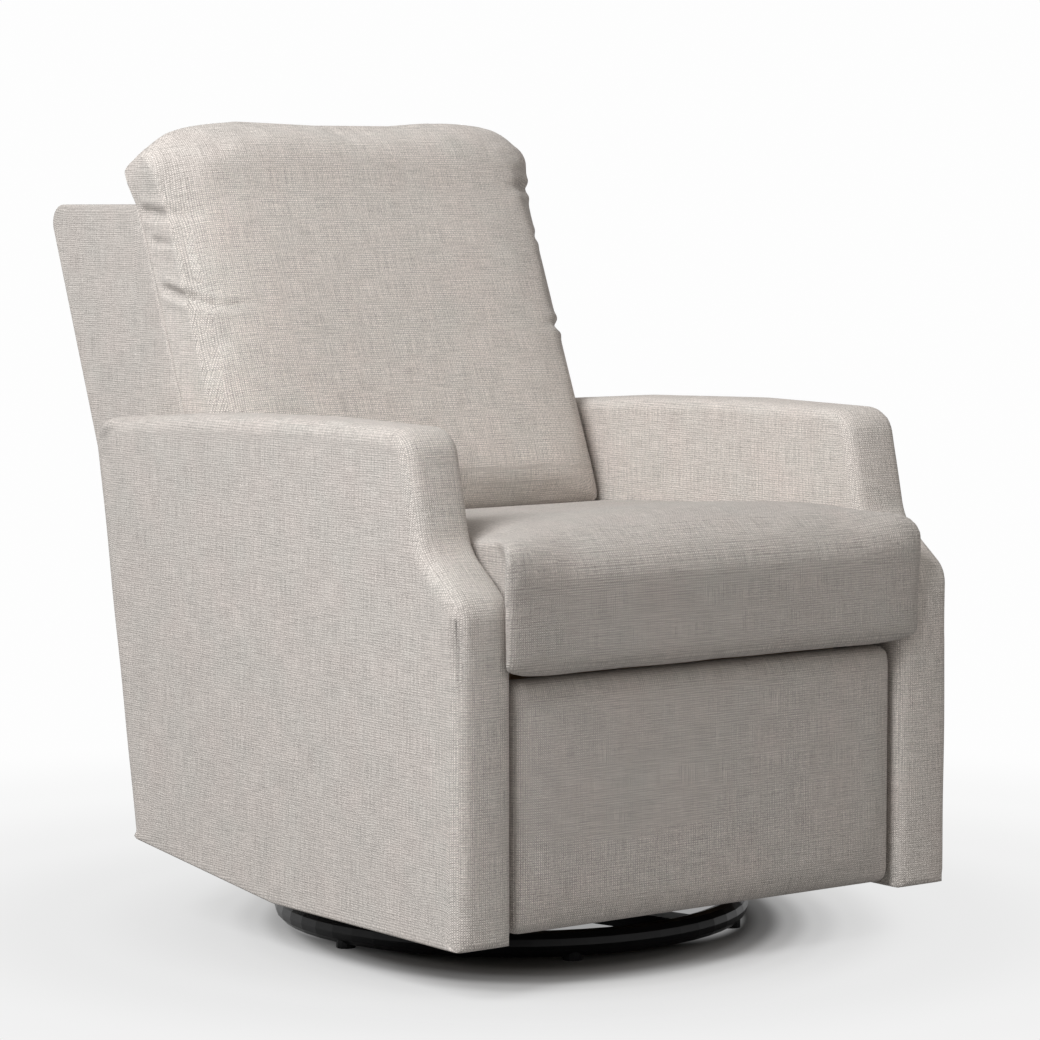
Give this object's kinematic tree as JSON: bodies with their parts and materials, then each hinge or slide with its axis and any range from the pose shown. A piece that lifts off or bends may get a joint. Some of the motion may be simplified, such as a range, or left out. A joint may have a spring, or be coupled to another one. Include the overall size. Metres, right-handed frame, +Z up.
{
  "type": "swivel recliner",
  "caption": "Upholstered swivel glider recliner on a round tube base: the seat glides and slides, the back leans and a scissor linkage swings out a padded footrest.",
  "frame": {"origin": "on the floor, below the middle of the outline", "axes": "+Z up, the front of the chair faces -Y, +X to the right as seen from the front"},
  "size_m": [0.734, 1.0284, 0.9991],
  "materials": {
    "linen": "matte",
    "foam": "matte",
    "webbing": "matte",
    "plywood": "matte",
    "hardwood": "matte",
    "black_gloss": "gloss",
    "black_steel": "satin",
    "zinc_steel": "satin",
    "spring_steel": "satin"
  },
  "bodies": {
    "base": {"base_ring": "black_gloss", "base_cross_bars": "black_gloss", "bearing_lower_plate": "zinc_steel", "bearing_ball_cage": "zinc_steel", "swivel_king_bolt": "zinc_steel"},
    "swivel": {"bearing_upper_plate": "zinc_steel", "glider_base_plate": "black_steel", "glider_side_frame_left": "black_steel", "glider_side_frame_right": "black_steel"},
    "front_glide_links": {"front_glide_link_left": "zinc_steel", "front_glide_link_right": "zinc_steel"},
    "rear_glide_links": {"rear_glide_link_left": "zinc_steel", "rear_glide_link_right": "zinc_steel"},
    "chassis": {"glider_rail_left": "black_steel", "glider_rail_right": "black_steel", "front_cross_rail": "hardwood", "rear_cross_rail": "hardwood", "rear_lower_panel": "linen", "arm_frame_left": "plywood", "arm_frame_right": "plywood", "arm_padding_left": "foam", "arm_padding_right": "foam", "arm_cover_left": "linen", "arm_cover_right": "linen", "mechanism_side_plate_left": "black_steel", "mechanism_side_plate_right": "black_steel"},
    "seat_carriage": {"carriage_plate_left": "black_steel", "carriage_plate_right": "black_steel", "seat_side_rail_left": "hardwood", "seat_side_rail_right": "hardwood", "seat_front_rail": "hardwood", "seat_rear_rail": "hardwood", "seat_springs": "spring_steel", "seat_cushion": "linen"},
    "back": {"back_cover": "linen", "back_stile_left": "hardwood", "back_stile_right": "hardwood", "back_top_rail": "hardwood", "back_bottom_rail": "hardwood", "back_webbing": "webbing", "back_cushion": "linen", "back_hinge_bracket_left": "zinc_steel", "back_hinge_bracket_right": "zinc_steel"},
    "drive_links": {"drive_links": "zinc_steel"},
    "cross_links": {"cross_link_left": "zinc_steel", "cross_link_right": "zinc_steel"},
    "outer_cross_links": {"outer_cross_link_left": "zinc_steel", "outer_cross_link_right": "zinc_steel"},
    "outer_drive_links": {"outer_drive_link_left": "zinc_steel", "outer_drive_link_right": "zinc_steel"},
    "tilt_links": {"tilt_link_left": "zinc_steel", "tilt_link_right": "zinc_steel"},
    "footrest": {"footrest_bracket_left": "zinc_steel", "footrest_bracket_right": "zinc_steel", "footrest_board": "plywood", "footrest_pad": "linen"}
  },
  "joints": [
    {"name": "swivel", "type": "hinge", "parent": "base", "child": "swivel", "pos_m": [0, -0.103, 0.04], "axis": [0, 0, 1], "continuous": true},
    {"name": "glide", "type": "hinge", "parent": "swivel", "child": "front_glide_links", "pos_m": [0, -0.223, 0.2], "axis": [1, 0, 0], "range_deg": [-25, 25]},
    {"name": "rear_link_swing", "type": "hinge", "parent": "swivel", "child": "rear_glide_links", "pos_m": [0, 0.017, 0.2], "axis": [1, 0, 0], "range_deg": [-26, 26]},
    {"name": "chassis_hang", "type": "hinge", "parent": "front_glide_links", "child": "chassis", "pos_m": [0, -0.223, 0.1], "axis": [1, 0, 0], "range_deg": [-26, 26]},
    {"name": "seat_slide", "type": "slide", "parent": "chassis", "child": "seat_carriage", "axis": [0, -1, 0], "range_m": [0, 0.0302]},
    {"name": "recline", "type": "hinge", "parent": "seat_carriage", "child": "back", "pos_m": [0, 0.177, 0.335], "axis": [-1, 0, 0], "range_deg": [0, 28]},
    {"name": "footrest_drive", "type": "hinge", "parent": "seat_carriage", "child": "drive_links", "pos_m": [0, -0.3673, 0.332], "axis": [-1, 0, 0], "range_deg": [0, 70]},
    {"name": "cross_link_pivot", "type": "hinge", "parent": "drive_links", "child": "cross_links", "pos_m": [0, -0.37166, 0.20708], "axis": [1, 0, 0], "range_deg": [0, 108.5]},
    {"name": "outer_cross_link_pivot", "type": "hinge", "parent": "drive_links", "child": "outer_cross_links", "pos_m": [0, -0.37602, 0.08215], "axis": [1, 0, 0], "range_deg": [0, 108.5]},
    {"name": "outer_drive_link_pivot", "type": "hinge", "parent": "cross_links", "child": "outer_drive_links", "pos_m": [0, -0.39765, 0.32934], "axis": [-1, 0, 0], "range_deg": [0, 108.5]},
    {"name": "footrest_pivot", "type": "hinge", "parent": "outer_cross_links", "child": "footrest", "pos_m": [0, -0.428, 0.32669], "axis": [-1, 0, 0], "range_deg": [0, 118.5]},
    {"name": "tilt_link_pivot", "type": "hinge", "parent": "outer_drive_links", "child": "tilt_links", "pos_m": [0, -0.40638, 0.0795], "axis": [1, 0, 0], "range_deg": [0, 104.5]}
  ],
  "couplings": [
    {"joint": "rear_link_swing", "follows": "glide", "ratio": 1},
    {"joint": "chassis_hang", "follows": "glide", "ratio": -1},
    {"joint": "seat_slide", "follows": "recline", "m_per_rad": 0.061388},
    {"joint": "cross_link_pivot", "follows": "footrest_drive", "ratio": 1.5429},
    {"joint": "outer_cross_link_pivot", "follows": "footrest_drive", "ratio": 1.5429},
    {"joint": "outer_drive_link_pivot", "follows": "footrest_drive", "ratio": 1.5429},
    {"joint": "footrest_pivot", "follows": "footrest_drive", "ratio": 1.6857},
    {"joint": "tilt_link_pivot", "follows": "footrest_drive", "ratio": 1.4857}
  ]
}
